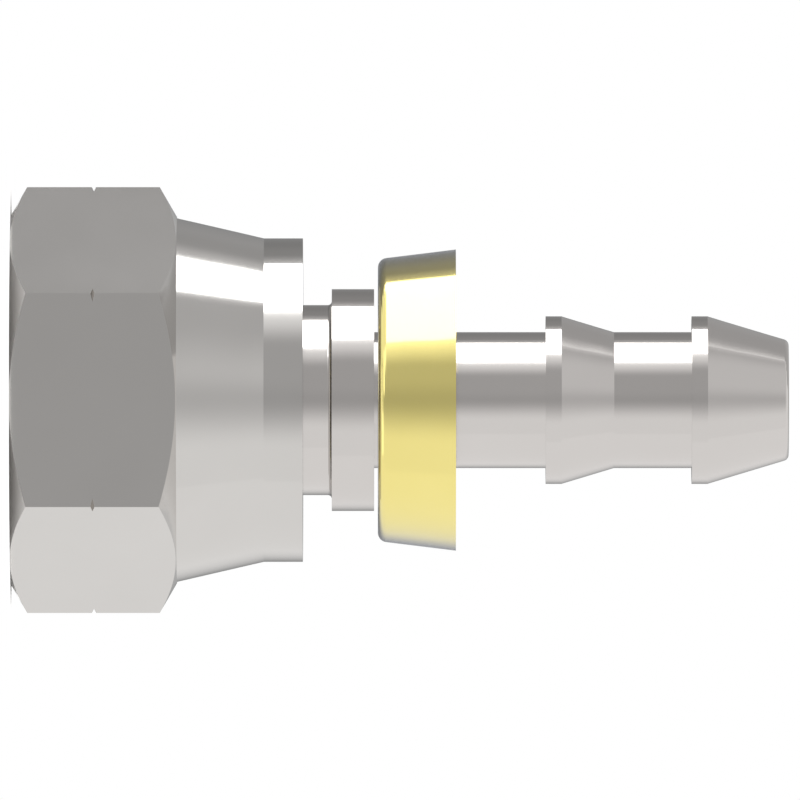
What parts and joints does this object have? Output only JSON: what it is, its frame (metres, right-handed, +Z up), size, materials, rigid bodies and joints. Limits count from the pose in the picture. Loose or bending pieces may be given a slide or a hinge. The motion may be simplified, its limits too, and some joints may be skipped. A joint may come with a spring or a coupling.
{
  "type": "hose nipple",
  "caption": "Barbed push-on hose nipple with a flow bore, a conical metal seat, a hexagonal swivel nut with an internal thread, and a flared cap ring that covers the hose's end.",
  "frame": {"origin": "centre of the swivel nut's front face, on which the fitting stands", "axes": "+Z up the fitting's axis towards the hose end; +X through a corner of the hexagon; -Y square to one of its flats"},
  "size_m": [0.0202, 0.0174, 0.0368],
  "materials": {
    "nipple_steel": "fine turned and bright plated, smooth, with a soft gloss",
    "nut_steel": "bright plated over drawn flats and a turned tail, with a soft gloss",
    "ring_brass": "smooth pressed metal with a yellow brass colour, glossy"
  },
  "bodies": {
    "nipple": {"hose_nipple": "nipple_steel"},
    "nut": {"swivel_nut": "nut_steel"},
    "ring": {"cap_ring": "ring_brass"}
  },
  "joints": [
    {"name": "nut_swivel", "type": "hinge", "parent": "nipple", "child": "nut", "pos_m": [0, 0, 0.0118], "axis": [0, 0, 1], "continuous": true},
    {"name": "ring_spin", "type": "hinge", "parent": "nipple", "child": "ring", "pos_m": [0, 0, 0.01777], "axis": [0, 0, 1], "continuous": true}
  ]
}
